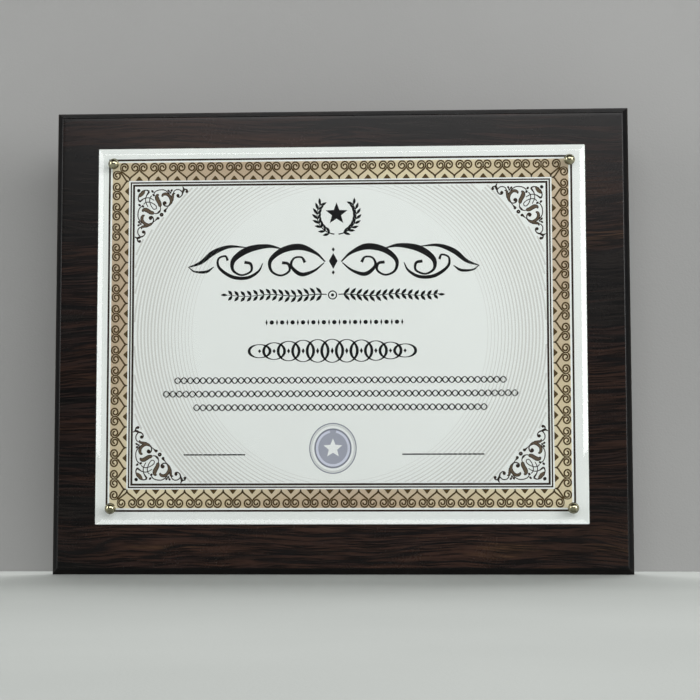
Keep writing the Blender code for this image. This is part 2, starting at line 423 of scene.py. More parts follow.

# %% [markdown]
# ## The board's finishes
#
# The core is fibreboard. Its edges and the bevel are sprayed satin black, thin enough that a little
# brown shows through, and the spray leaves a faint orange peel. Inside the keyholes and the pin
# holes the cutter left raw, pale brown fibre, so the finish looks where it is: a place well inside
# the outline is raw. The straight edges behind the bevel soaked up more of the paint and are a
# little paler. The lowest bevel faces the pale table and is painted paler too: a painted reflection
# of the table.

# %% Black edge paint
RAW_INSET_X, RAW_INSET_Z = 5.1 * MM, 5.35 * MM
edge_paint, shader, place = new_finish("edge_paint")
x, y, z = along_axes(place)
marks = use(handling, Vector=place, Fine=900.0)["Marks"]
inside_x = abs(x).step("LESS_THAN", BOARD_HALF_WIDTH - RAW_INSET_X)
raw = inside_x * abs(z - BOARD_MIDDLE).step("LESS_THAN", BOARD_MIDDLE - RAW_INSET_Z)
fibre = drawn_out(place, (1, 2, 1), 1800.0, 4.0, 0.7)
fibre_colour = mixed(fibre, (0.12, 0.065, 0.032), (0.30, 0.19, 0.11))
soaked = between(y, -2.3 * MM, -1.8 * MM)
# Paler low down: a painted reflection of the pale table on the lowest bevel. The paler black below
# serves both this painted reflection and the soaked edges.
table_reflection = between(z, 3.6 * MM, 3.0 * MM)
in_spray, in_thin_coat_and_sheen = between(marks, 0.40, 0.68), between(marks, 0.38, 0.64)
sprayed = mixed(in_spray, (0.0030, 0.0030, 0.0034), (0.0070, 0.0062, 0.0060))
thin_coat_and_table_sheen = mixed(in_thin_coat_and_sheen, (0.0085, 0.0078, 0.0076), (0.0185, 0.0150, 0.0135))
black = mixed(soaked.step("MAXIMUM", table_reflection), sprayed, thin_coat_and_table_sheen)
set_shader(
    shader,
    Base_Color=mixed(raw, black, fibre_colour),
    Roughness=between(marks, 0.3, 0.7, 0.30, 0.40) + raw * 0.4,
    Specular_IOR_Level=0.10,
    Normal=bump(noise(place, 1500.0) + fibre * raw, 0.06 * MM),
)
print("finish:", edge_paint.name, len(edge_paint.node_tree.nodes), "nodes")

# %% [markdown]
# The face is a printed walnut laminate, so dark that it is nearly black: cool black, plum and
# red-brown bands, a few of them a lighter orange-brown, all crossed by fine light streaks and thin
# black veins. It is pressed flat and satin: the pores are printed and only just felt. The bands are
# cooler along the top and warmer along the bottom, and one orange streak runs right across below
# the middle. Towards both ends, most of all at the left, painted shade makes them cooler and
# darker.
# The laminate's own cut edge is part of the bevel and was sprayed with it, so the outer fraction of
# a millimetre turns to the edge's black.
#
# The warmth of a place is the bands' noise plus some drifts: each one goes from one value to
# another between two places. The warmer the place, the further its colour goes along a short list.

# %% Walnut bands
COOLEST = (0.0062, 0.0052, 0.0051)
WARMER = [
    (0.40, 0.44, (0.0140, 0.0073, 0.0064)),
    (0.47, 0.52, (0.0215, 0.0100, 0.0070)),
    (0.57, 0.61, (0.0385, 0.0198, 0.0105)),
]
STREAK_HEIGHT = 113 * MM
walnut, shader, place = new_finish("dark_walnut")
x, _, z = along_axes(place)
figure = use(wood_figure, Vector=place, Wander=0.040)
# Besides the orange streak, the two drifts along x are painted shade: cooler and darker towards the
# left and right ends.
drifts = [
    (abs(z - STREAK_HEIGHT), 0.002, 0.007, 0.09, 0.0),
    (x, -0.16, -0.11, -0.070, 0.0),
    (x, 0.11, 0.16, 0.0, -0.022),
    (z, 0.14, 0.18, 0.0, -0.045),
    (z, 0.01, 0.04, 0.045, 0.0),
]
warmth = figure["Bands"] + (figure["Streaks"] - 0.5) * 0.30
for drift in drifts:
    warmth = warmth + between(*drift)
bands = COOLEST
for low, high, warmer in WARMER:
    bands = mixed(between(warmth, low, high), bands, warmer)
# Painted shade: darker towards both ends.
bands = mixed(between(abs(x), 0.10, 0.15, 0.0, 0.30), bands, (0, 0, 0))
print("walnut:", len(WARMER) + 1, "band colours,", len(drifts), "drifts")

# %% Walnut grain
PAINTED_EDGE = 3.68 * MM
grain = figure["Streaks"] * 0.28 + figure["Fibres"] * 0.72
deep = mixed(1.0, bands, (0.20, 0.21, 0.23), "MULTIPLY")
bright = mixed(1.0, bands, (1.50, 1.50, 1.46), "MULTIPLY")
bright = mixed(1.0, bright, (0.0038, 0.0025, 0.0018), "ADD")
streaked = mixed(between(grain, 0.43, 0.575), deep, bright)
even = mixed(1.0, bands, (0.90, 0.90, 0.90), "MULTIPLY")
streaked = mixed(between(z, 0.19, 0.245, 0.0, 0.40), streaked, even)
veined = mixed(figure["Veins"] * 0.75, streaked, (0.0022, 0.0022, 0.0026))
over_x = abs(x).over(BOARD_HALF_WIDTH - PAINTED_EDGE)
over_z = abs(z - BOARD_MIDDLE).over(BOARD_MIDDLE - PAINTED_EDGE)
marks = use(handling, Vector=place, Fine=700.0)["Marks"]
set_shader(
    shader,
    Base_Color=mixed(over_x.step("MAXIMUM", over_z), veined, (0.0040, 0.0040, 0.0044)),
    Roughness=between(marks, 0.35, 0.65, 0.25, 0.28),
    Specular_IOR_Level=0.25,
    Normal=bump(figure["Streaks"], 0.006 * MM),
)
print("finish:", walnut.name, len(walnut.node_tree.nodes), "nodes")

# %% [markdown]
# The back has a plain balancing laminate: dark brown, matt, with a fine pressed texture and a trace
# of the same grain.

# %% Backing laminate
backing, shader, place = new_finish("backing_laminate")
streaks = use(wood_figure, Vector=place, Wander=0.01)["Streaks"]
marks = use(handling, Vector=place, Fine=1300.0)["Marks"]
plain = mixed(between(streaks, 0.35, 0.65), (0.019, 0.0155, 0.0135), (0.040, 0.032, 0.027))
set_shader(
    shader,
    Base_Color=mixed(between(marks, 0.52, 0.7, 0.0, 0.35), plain, (0.06, 0.053, 0.048)),
    Roughness=between(marks, 0.3, 0.7, 0.55, 0.72),
    Normal=bump(noise(place, 2100.0, 3.0), 0.08 * MM),
)
print("finish:", backing.name, len(backing.node_tree.nodes), "nodes")

# %% [markdown]
# ## The board
#
# Each layer of the board is a rectangle carried along an edge profile. The profile's points are
# (inset, depth): how far the outline is drawn in, and how far back it lies. A sprayed or handled
# edge is never a knife edge, so every corner of the profile is rounded with a small arc. Just
# inside each arc stands one more ring on the flat, which keeps the smooth shading of the arc from
# spreading over the whole face.


# %% Edge profiles and plates
def rounded_profile(corners, radii, steps=4):
    """Rounds the corners of a line of (inset, depth) points. Each inner corner becomes a curve from
    a point before it to a point behind it, (1-t)^2 before + 2t(1-t) corner + t^2 behind, with t
    from 0 to 1."""
    corners = np.array(corners, float)
    t = np.linspace(0, 1, steps + 1)[:, None]
    pieces = [corners[:1]]
    for before, corner, behind, radius in zip(corners, corners[1:], corners[2:], radii):
        start = corner + (before - corner) / np.linalg.norm(before - corner) * radius
        end = corner + (behind - corner) / np.linalg.norm(behind - corner) * radius
        pieces.append((1 - t) ** 2 * start + 2 * t * (1 - t) * corner + t**2 * end)
    return np.concatenate(pieces + [corners[-1:]])


def rectangle_ring(half_width, half_height, radius, steps=4):
    """A rectangle with rounded corners, clockwise as seen from the front: for each corner, its
    centre plus radius (cos a, sin a) while a falls through a quarter turn."""
    falling = np.linspace(math.pi / 2, 0, steps + 1)
    angles = np.concatenate([falling - turn * math.pi / 2 for turn in range(4)])
    signs = np.repeat([(1, 1), (1, -1), (-1, -1), (-1, 1)], steps + 1, axis=0)
    centres = signs * [half_width - radius, half_height - radius]
    return centres + radius * np.stack([np.cos(angles), np.sin(angles)], axis=1)


def plate_skin(box, profile, corner_radius):
    """A plate in a box. Every (inset, depth) of the profile gives one rectangle."""
    low, high = box
    middle_x, middle_z = (low.x + high.x) / 2, (low.z + high.z) / 2
    half_width, half_height = (high.x - low.x) / 2, (high.z - low.z) / 2
    rings = []
    for inset, depth in profile:
        flat = rectangle_ring(half_width - inset, half_height - inset, corner_radius)
        level = np.full(len(flat), depth)
        rings.append(np.stack([flat[:, 0] + middle_x, level, flat[:, 1] + middle_z], 1))
    return ring_skin(np.array(rings))


# %% [markdown]
# Holes are cut with plain round or slot-shaped cutters. A slot's outline is a circle whose centre
# jumps from one end to the other: half of its points go round the first end and half round the
# second.


# %% Cutters
def slot_cutter(start, end, radius, front, back, sides=40):
    """A solid along y, from front to back. Its outline is a slot from start to end, both (x, z)."""
    start, end = np.array(start, float), np.array(end, float)
    lean = math.atan2(*(end - start)[::-1]) if np.any(end != start) else 0.0
    angles = lean + math.pi / 2 - np.linspace(0, 2 * math.pi, sides, endpoint=False)
    centre = np.where((np.arange(sides) < sides / 2)[:, None], end, start)
    x, z = (centre + radius * np.stack([np.cos(angles), np.sin(angles)], axis=1)).T
    rings = [np.stack([x, np.full(sides, y), z], axis=1) for y in (front, back)]
    return ring_skin(np.array(rings))


def cut(piece, cutters):
    """Takes the cutters' solids out of a piece and keeps the result as the piece's own mesh."""
    tools = []
    for number, skin in enumerate(cutters):
        tools.append(in_scene(f"cutter_{number}", make_mesh("cutter", skin, None)))
        step = piece.modifiers.new("cut", "BOOLEAN")
        step.object = tools[-1]
        step.solver = "EXACT"
    bpy.context.view_layer.update()
    seen = piece.evaluated_get(bpy.context.evaluated_depsgraph_get())
    finished = bpy.data.meshes.new_from_object(seen)
    piece.modifiers.clear()
    piece.data = finished
    finished.set_sharp_from_angle(angle=SMOOTH_ANGLE)
    for tool in tools:
        bpy.data.objects.remove(tool)


# %% [markdown]
# The four pins go through the cover and the sheet into blind holes of the board. The keyholes are
# routed into the back: a wide entry, and a narrow neck over a wider hollow for a screw's head. One
# hangs the board lengthways, and one upright.

# %% Holes of the board
PIN_RADIUS = 0.95 * MM
PIN_HOLE_DEPTH = 10 * MM
KEYHOLE_DEPTH, HOLLOW_HEIGHT = 10 * MM, 4.8 * MM
ENTRY_RADIUS, NECK_RADIUS, HOLLOW_RADIUS = 5 * MM, 2.5 * MM, 4.75 * MM
HANG_INSET, ENTRY_INSET = 26 * MM, 40 * MM
IN_FRONT, BEHIND = -20 * MM, back_high.y + 2 * MM
tack_middles = {}
for corner in CORNERS:
    low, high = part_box("tack_cap_" + corner)
    tack_middles[corner] = ((low.x + high.x) / 2, (low.z + high.z) / 2)
pin_holes = [
    slot_cutter(middle, middle, PIN_RADIUS, IN_FRONT, face_low.y + PIN_HOLE_DEPTH, 24)
    for middle in tack_middles.values()
]


def keyhole_cutters(hang, entry):
    """The entry, the neck and the hollow of one keyhole."""
    floor = back_high.y - KEYHOLE_DEPTH
    return [
        slot_cutter(entry, entry, ENTRY_RADIUS, floor, BEHIND),
        slot_cutter(hang, entry, NECK_RADIUS, floor, BEHIND),
        slot_cutter(hang, entry, HOLLOW_RADIUS, floor, floor + HOLLOW_HEIGHT),
    ]


top, left = board_high.z, board_low.x
keyholes = keyhole_cutters((0, top - HANG_INSET), (0, top - ENTRY_INSET))
keyholes += keyhole_cutters((left + HANG_INSET, BOARD_MIDDLE), (left + ENTRY_INSET, BOARD_MIDDLE))
print("pins at:", tack_middles)

# %% [markdown]
# The core's slope meets the face laminate's slope in one plane, so both read as one bevel with a
# hair-thin joint. The corners of the board are sharp mitres, eased by half a millimetre or less.

# %% Core, face and back
ON_FLAT = 2 * MM
thick = face_high.y - face_low.y
slope = face_low.x - board_low.x + thick + 0.1 * MM
core_profile = [
    (slope + ON_FLAT, board_low.y),
    (slope, board_low.y),
    (0, board_low.y + slope),
    (0, board_high.y),
    (ON_FLAT, board_high.y),
]
core_profile = rounded_profile(core_profile, [0.1 * MM, 0.45 * MM, 0.5 * MM])
core_skin = plate_skin(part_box("board_core"), core_profile, 0.35 * MM)
board = make_piece(
    "board_core_finished", core_skin, edge_paint, "board", "board_core"
)
cut(board, pin_holes + keyholes)

face_profile = [
    (thick + ON_FLAT, face_low.y),
    (thick, face_low.y),
    (0, face_high.y),
    (0.6 * MM, face_high.y),
]
face_profile = rounded_profile(face_profile, [0.55 * MM, 0.02 * MM])
face_skin = plate_skin(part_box("face_laminate"), face_profile, 0.3 * MM)
face = make_piece("walnut_face", face_skin, walnut, "board", "face_laminate")
cut(face, pin_holes)


def sheet_profile(low, high, radii, steps=4):
    """The profile of a plain sheet: two right-angled edges, a little rounded."""
    corners = [(1 * MM, low.y), (0, low.y), (0, high.y), (1 * MM, high.y)]
    return rounded_profile(corners, radii, steps)


back_profile = sheet_profile(back_low, back_high, [0.05 * MM, 0.2 * MM])
back_skin = plate_skin(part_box("back_laminate"), back_profile, 0.5 * MM)
back = make_piece("back_skin", back_skin, backing, "board", "back_laminate")
cut(back, keyholes)
print("board pieces:", [len(piece.data.polygons) for piece in (board, face, back)])

# %% [markdown]
# ## The certificate's paper
#
# The sheet is a smooth off-white card. Its finish is a very pale, faintly cool white with fibres
# just strong enough to keep it from looking like plastic.


# %% Card
def printed_finish(name, colour, mottle, specular, drift=None):
    """A material with the ink group in it. A drift may change the colour over the sheet first."""
    material, shader, place = new_finish(name)
    tint = drift(place, colour) if drift else colour
    printed = use(ink_on_card, Vector=place, Ink=tint, Mottle=mottle)
    set_shader(
        shader,
        Base_Color=printed["Color"],
        Roughness=printed["Roughness"],
        Specular_IOR_Level=specular,
        Normal=bump(printed["Height"], 0.02 * MM),
    )
    return material


card = printed_finish("certificate_card", (0.890, 0.906, 0.890), 0.10, 0.2)
card_profile = sheet_profile(sheet_low, sheet_high, [0.04 * MM, 0.04 * MM], 2)
card_skin = plate_skin(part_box("certificate_sheet"), card_profile, 0.3 * MM)
sheet = make_piece("certificate_card", card_skin, card, "sheet", "certificate_sheet")
cut(sheet, pin_holes)

# %% [markdown]
# ## Strokes of ink
#
# The print is real geometry, a few hundredths of a millimetre thick, so that it stays crisp from
# any distance. A stroke is a flat rectangle carried along a line in the paper plane, with a width
# of its own at every point. A filled shape is its outline, front and back. Each ink lies a little
# in front of the one below.

# %% Stroke helpers
LAYER = 0.02 * MM


def on_paper(flat, depth):
    """Points (u, v) in the paper plane as points in space, depth metres in front of the paper."""
    level = np.full(len(flat), PAPER_FRONT - depth)
    return np.stack([flat[:, 0], level, flat[:, 1] + SHEET_MIDDLE], axis=1)


def ribbon(outer, inner, layer, loop):
    """A flat band between two lines of the paper plane, one layer thick."""
    front, back = layer * LAYER + LAYER, layer * LAYER
    edges = [(outer, front), (inner, front), (inner, back), (outer, back)]
    return ring_skin(np.stack([on_paper(line, depth) for line, depth in edges], axis=1), loop)


def stroke(line, width, layer, loop=False):
    """A ribbon along line, an array of (u, v). At each point the ribbon reaches half its width to
    both sides, along the line's direction turned by a quarter."""
    line = np.asarray(line, float)
    width = np.broadcast_to(np.asarray(width, float), (len(line),))[:, None]
    if loop:
        ahead = np.roll(line, -1, axis=0) - np.roll(line, 1, axis=0)
    else:
        ahead = np.gradient(line, axis=0)
    ahead /= np.maximum(np.linalg.norm(ahead, axis=1, keepdims=True), 1e-9)
    aside = np.stack([-ahead[:, 1], ahead[:, 0]], axis=1) * width / 2
    return ribbon(line + aside, line - aside, layer, loop)


def filled(outline, layer):
    """A flat shape inside an outline. The sign of the outline's area tells which way it runs, and
    it is turned round where it isn't clockwise as seen from the front, so that its faces point
    outwards."""
    (u, v), (next_u, next_v) = outline.T, np.roll(outline, -1, axis=0).T
    outline = outline if np.sum(u * next_v - next_u * v) < 0 else outline[::-1]
    front, back = layer * LAYER + LAYER, layer * LAYER
    return ring_skin(np.stack([on_paper(outline, front), on_paper(outline, back)]))


def round_about(middle, angles, half_width, half_height):
    """Points middle + (half_width cos a, half_height sin a)."""
    flat = [half_width * np.cos(angles), half_height * np.sin(angles)]
    return np.asarray(middle) + np.stack(flat, axis=1)


def circle(middle, radius, sides, squash=1.0):
    """A closed circle, clockwise, with its height times squash."""
    a = -np.linspace(0, 2 * math.pi, sides, endpoint=False)
    return round_about(middle, a, radius, squash * radius)


def smooth_line(points, samples=8):
    """A soft line through points. Between two of them it is the cubic whose slope at each point is
    half of the way from the point before to the point behind."""
    points = np.asarray(points, float)
    before, behind = 2 * points[:1] - points[1:2], 2 * points[-1:] - points[-2:-1]
    padded = np.concatenate([before, points, behind])
    slope = (padded[2:] - padded[:-2]) / 2
    t = np.linspace(0, 1, samples, endpoint=False)[None, :, None]
    start, end = points[:-1, None], points[1:, None]
    line = (2 * t**3 - 3 * t**2 + 1) * start + (3 * t**2 - 2 * t**3) * end
    line += (t**3 - 2 * t**2 + t) * slope[:-1, None] + (t**3 - t**2) * slope[1:, None]
    return np.concatenate([line.reshape(-1, points.shape[1]), points[-1:]])


def print_piece(name, skins, material):
    """A printed part of the sheet from a list of skins."""
    return make_piece(name, joined(skins), material, "sheet")


# %% [markdown]
# All inks share the card's finish and differ in colour. The dark brown of the scrolls, the
# near-black of the ornaments in the middle, the pale grey of the background rings and the
# violet-grey of the seal are plain tints.
#
# The border's band is printed like brushed gold: it drifts between a pinkish tan and a pale olive
# yellow on a slant across the sheet. One wave of a cosine along a slanted direction does that. Its
# crest crosses the top side right of the middle and the bottom side near the left corner.

# %% Inks
INK_GLOSS = 0.08
PLAIN_INKS = {
    "brown": (0.073, 0.041, 0.009, 0.01),
    "line": (0.027, 0.0155, 0.010, 0.005),
    "leaf": (0.105, 0.071, 0.042, 0.02),
    "black": (0.0032, 0.0034, 0.0038, 0.003),
    "ring": (0.665, 0.655, 0.63, 0.06),
    "violet": (0.355, 0.365, 0.445, 0.05),
    "deep_violet": (0.205, 0.215, 0.275, 0.04),
    "lavender": (0.66, 0.67, 0.80, 0.05),
    "pale": (0.69, 0.70, 0.705, 0.04),
    "white": (0.90, 0.91, 0.91, 0.02),
}
GOLD_INKS = {"band": (0.545, 0.412, 0.284, 0.08), "heart": (0.492, 0.360, 0.239, 0.08)}
TURNS_ACROSS, FIRST_TURN = (28.6, 0.0, -24.0), 4.12
YELLOWER = (1.42, 1.62, 1.55)


def gold_drift(place, tan):
    """Goes from tan to a yellower tint with (1 + cos) / 2 of the way along a slanted direction."""
    along = put("VectorMath", {0: place, 1: TURNS_ACROSS}, operation="DOT_PRODUCT")["Value"]
    share = (along + FIRST_TURN).step("COSINE") * 0.5 + 0.5
    return mixed(share, tan, [channel * more for channel, more in zip(tan, YELLOWER)])


inks = {}
for drift, listed in ((None, PLAIN_INKS), (gold_drift, GOLD_INKS)):
    for name, (*colour, mottle) in listed.items():
        inks[name] = printed_finish(name + "_ink", colour, mottle, INK_GLOSS, drift)
print("inks:", list(inks))

# %% [markdown]
# ## The border
#
# From the outside in there are a dark line, a white gap, the gold band with its scrolls, another
# gap, a thin line and a strong line. The print sits three quarters of a millimetre to the left and
# half of one up on the sheet, as office prints do. Each frame is a ribbon between two rectangles
# whose four corners are joined in a loop, so the mitres are exact.

# %% Border frames
PRINT_MIDDLE = np.array([-0.75, 0.6]) * MM
OUTER_LINE = np.array([132.6, 100.9]) * MM
BAND_OUTER = np.array([131.0, 99.4]) * MM
BAND_INNER = np.array([121.4, 88.8]) * MM
THIN_LINE = np.array([120.1, 87.6]) * MM
STRONG_LINE = np.array([118.5, 86.0]) * MM
LINE_WIDTHS = ((OUTER_LINE, 1.12), (THIN_LINE, 0.82), (STRONG_LINE, 1.18))


def frame_skin(outer, inner):
    """A flat frame between two rectangles, both given by their half sizes."""
    square = np.array([(-1, 1), (1, 1), (1, -1), (-1, -1)])
    return ribbon(PRINT_MIDDLE + square * outer, PRINT_MIDDLE + square * inner, 0, True)


print_piece("border_band", [frame_skin(BAND_OUTER, BAND_INNER)], inks["band"])
lines = [frame_skin(line + w * MM / 2, line - w * MM / 2) for line, w in LINE_WIDTHS]
print_piece("border_lines", lines, inks["line"])

# %% [markdown]
# The scrolls are a row of hearts that touch side by side, an old book and furniture ornament. From
# its tip on the band's inner edge, each side of a heart swings out to its neighbour and rolls up
# into a spiral. Between the tips sit small dark wedges. One half heart is worked out once, as a
# line in (s, t): s along the band in hearts, and t across it from 0 at the inner edge to 1 at the
# outer. The rest is copies.
#
# Two neighbours share the line where they touch, so each of them draws it thinner there.

# %% Half a heart
TIP_TO_SIDE = [(0.0, 0.0), (0.006, 0.11), (0.062, 0.20), (0.19, 0.305), (0.335, 0.43)]
TIP_TO_SIDE += [(0.45, 0.545), (0.492, 0.66)]
CURL_MIDDLE, CURL_SIZE = (0.294, 0.745), (0.205, 0.212)
CURL_TURNS = [0, 0.25, 0.5, 0.75, 1.0, 1.25, 1.5, 1.6]
CURL_RADII = [0.98, 0.99, 0.95, 0.97, 0.50, 0.36, 0.38, 0.34]
TINT_TOP = [(0.36, 0.50), (0.10, 0.60), (0.08, 0.93)]
WEDGE = np.array([(-0.20, 0.0), (-0.025, 0.235), (0.025, 0.235), (0.20, 0.0)])
SCROLL_WIDTH, SHARED_LESS = 0.95, 0.37
TIP_WIDTHS, END_WIDTHS = (0.7, 0.7, 0.8), (1.05, 0.8)


def half_heart():
    """The line of the right half: a soft line from the tip up to the neighbour's side, and then a
    spiral. Its radius keeps its size for three quarters of a turn, drops by half in the next
    quarter, and stays small to its end."""
    turns = np.linspace(0, CURL_TURNS[-1], 23)
    radius = np.interp(turns, CURL_TURNS, CURL_RADII)
    curl = round_about(CURL_MIDDLE, 2 * math.pi * turns, *(size * radius for size in CURL_SIZE))
    return np.concatenate([smooth_line(TIP_TO_SIDE, 3), curl])


half = half_heart()
side_of_tint = np.concatenate([half[3:16:2], TINT_TOP])
tint = np.concatenate([side_of_tint, side_of_tint[::-1] * (-1, 1)])
scroll_width = SCROLL_WIDTH - SHARED_LESS * np.clip((half[:, 0] - 0.44) / 0.04, 0, 1)
scroll_width[:3], scroll_width[-2:] = TIP_WIDTHS, END_WIDTHS
print("half heart:", len(half), "points")

# %% Heart border
HEART_ROWS = ((1, 23, 242.0 * MM), (0, 16, 177.3 * MM))
strokes, wedges, tints = [], [], []


def add_heart_row(count, length, start, along, across, depth):
    """Copies of the heart along one side of the band. start is the middle of the row on the band's
    inner edge, along and across are unit steps, and depth is the band's width."""
    pitch = length / (count - 1)
    centres = (np.arange(count) - (count - 1) / 2) * pitch

    def laid(points, centre):
        """From (s, t) of one heart to (u, v): start + s pitches along + t depths across."""
        s, t = centre + points[:, 0] * pitch, points[:, 1] * depth
        return start + s[:, None] * along + t[:, None] * across

    for centre in centres:
        for side in (-1, 1):
            strokes.append(stroke(laid(half * (side, 1), centre), scroll_width * MM, 2))
        tints.append(filled(laid(tint, centre), 1))
    wedges.extend(filled(laid(WEDGE, (a + b) / 2), 2) for a, b in zip(centres, centres[1:]))


for side in (1, -1):
    for axis, count, length in HEART_ROWS:
        across, along = side * np.eye(2)[axis], np.eye(2)[1 - axis]
        inner, depth = BAND_INNER[axis], BAND_OUTER[axis] - BAND_INNER[axis]
        add_heart_row(count, length, PRINT_MIDDLE + across * inner, along, across, depth)
print_piece("border_scrolls", strokes + wedges, inks["brown"])
print_piece("heart_tints", tints, inks["heart"])

# %% [markdown]
# ## The pale rings behind the print
#
# Fine rings round the middle of the sheet keep a certificate from looking bare, and they were once
# a guard against forgery. They begin well away from the middle, faint, and get stronger towards the
# sides. Each ring is cut off at the border and in front of the corner ornaments: the points that
# are left fall into runs, and each run is one stroke.

# %% Background rings
ROOM = STRONG_LINE - 0.95 * MM
CORNER_LEG = 32.8 * MM
ORNAMENT_STRETCH = 1.06
RING_RADII = np.arange(84.5, 143, 1.95)


def free_runs(flat):
    """The runs of ring points inside the border and outside the corners, as arrays of numbers."""
    left = ROOM - np.abs(flat)
    inside = np.all(left > 0, axis=1)
    inside &= left[:, 0] + left[:, 1] / ORNAMENT_STRETCH > CORNER_LEG
    changes = np.flatnonzero(np.diff(inside.astype(int))) + 1
    runs = np.split(np.arange(len(flat)), changes)
    return [run for run in runs if inside[run[0]] and len(run) > 3]


ring_strokes = []
angle = np.linspace(0.25 * math.pi, 2.25 * math.pi, 321)
for radius in RING_RADII:
    flat = round_about((0, 0), angle, radius * MM, radius * MM)
    width = 0.10 + 0.86 * np.clip((radius - 82) / 26, 0, 1)
    for run in free_runs(flat):
        ring_strokes.append(stroke(PRINT_MIDDLE + flat[run], width * MM, 0))
print_piece("background_rings", ring_strokes, inks["ring"])

# %% [markdown]
# ## The corner ornaments
#
# A traditional leaf-and-scroll corner, the same on both sides of its diagonal. Its strokes swell
# and thin out like those of a broad pen. Each one is a few points (along, down, width) in
# millimetres from the border's inner corner. The half above the diagonal is listed, and the other
# half is the same with the first two numbers swapped. The whole is stretched a little downwards and
# mirrored into the four corners. The broad leaves are printed in two inks: a brown stroke, a little
# narrower, lies on the dark one and leaves a dark outline.

# %% Strokes of a corner
CORNER_LINES = [
    [(3.5, 3.5, 0.4), (4.2, 2.7, 0.45), (5.6, 2.15, 0.45), (7.0, 2.1, 0.5), (8.4, 2.8, 0.9)],
    [(8.4, 2.8, 0.9), (7.6, 3.9, 0.75), (6.7, 5.3, 0.45), (6.25, 7.25, 0.35), (6.5, 9.0, 0.35),
     (7.7, 11.3, 0.3)],
    [(9.9, 5.15, 0.4), (9.1, 5.8, 0.35), (8.65, 7.0, 0.35), (8.7, 8.6, 0.35), (9.6, 10.9, 0.35),
     (11.0, 12.5, 0.35), (12.4, 12.4, 0.35)],
    [(10.3, 4.3, 0.3), (10.9, 4.8, 1.15), (11.5, 5.3, 0.4)],
    [(9.7, 2.1, 0.4), (10.2, 2.75, 1.1), (10.8, 3.35, 0.5)],
    [(11.1, 5.1, 0.35), (11.1, 4.0, 0.4), (11.7, 3.05, 0.42), (13.3, 2.2, 0.42),
     (15.4, 1.9, 0.42), (17.2, 2.1, 0.42), (18.8, 3.0, 0.42), (20.1, 4.1, 0.35)],
    [(14.8, 11.2, 0.35), (15.0, 12.3, 0.35), (14.65, 13.4, 0.7), (14.1, 14.1, 1.1)],
    [(19.8, 10.6, 0.3), (18.9, 11.8, 0.3), (17.9, 12.9, 0.9), (17.4, 13.5, 1.25),
     (17.3, 13.9, 0.8)],
    [(20.6, 9.6, 0.9), (19.9, 10.5, 0.65), (18.75, 10.95, 0.5), (17.5, 10.7, 0.6),
     (16.75, 9.95, 0.9), (16.75, 9.2, 1.05), (17.3, 8.7, 1.05), (18.0, 9.1, 0.8),
     (17.9, 9.7, 0.5)],
    [(19.0, 2.0, 0.35), (19.6, 2.5, 1.05), (20.1, 3.0, 0.5), (20.7, 4.1, 0.3)],
    [(21.8, 1.8, 0.35), (21.3, 2.3, 1.05), (21.0, 2.95, 0.5), (20.8, 4.1, 0.3)],
    [(22.3, 3.8, 0.35), (22.9, 2.6, 0.42), (24.2, 1.9, 0.42), (25.8, 2.0, 0.42),
     (27.0, 2.8, 0.5), (27.7, 3.6, 0.6)],
    [(27.6, 4.0, 0.8), (27.2, 5.1, 0.55), (26.0, 6.05, 0.5), (24.95, 5.75, 0.9),
     (24.75, 4.95, 1.1), (25.5, 4.5, 0.7)],
    [(27.6, 0.2, 0.3), (28.1, 1.0, 0.6), (28.35, 1.9, 1.2), (27.9, 3.1, 1.0), (27.6, 4.0, 0.6)],
    [(28.4, 1.9, 0.6), (29.3, 1.75, 0.55), (30.1, 2.2, 0.8), (30.2, 2.8, 1.0)],
]
CORNER_LEAVES = [
    [(13.9, 4.5, 0.8), (12.9, 5.1, 1.7), (12.85, 6.5, 2.3), (13.6, 8.0, 2.2), (14.35, 9.3, 2.1),
     (14.6, 10.6, 1.8), (14.6, 11.3, 0.8)],
    [(15.9, 5.8, 0.6), (16.1, 4.9, 1.25), (17.05, 4.3, 1.6), (18.5, 4.3, 1.7), (19.8, 5.15, 1.7),
     (20.7, 6.4, 1.7), (21.15, 7.6, 1.7), (21.05, 8.7, 1.5), (20.5, 9.7, 1.1), (19.9, 10.4, 0.5)],
    [(23.4, 4.0, 0.35), (22.3, 4.25, 1.1), (21.95, 5.4, 1.35), (21.8, 6.75, 1.4),
     (21.6, 8.0, 1.3)],
]
CORNER_DOTS = [(2.3, 2.2, 0.95), (30.15, 3.0, 0.85), (25.15, 5.2, 0.8), (17.6, 13.7, 0.75),
               (17.6, 9.35, 0.8)]
CORNER_CRESCENT = np.array([(2.4, 6.1), (2.6, 4.6), (3.4, 3.4), (4.6, 2.6), (6.1, 2.4),
                            (5.7, 3.7), (4.9, 4.9), (3.7, 5.7)])
CORNER_MIDDLE = np.array([(15.6, 15.6)])
print("corner strokes:", len(CORNER_LINES), "leaves:", len(CORNER_LEAVES))

# %% Corner ornament
OUTLINE, BOLDER = 0.80, 0.16


def both_halves(listed):
    """Each list of points, and the same with its first two numbers swapped."""
    for points in listed:
        yield np.array(points)
        yield np.array(points)[:, [1, 0, 2]]


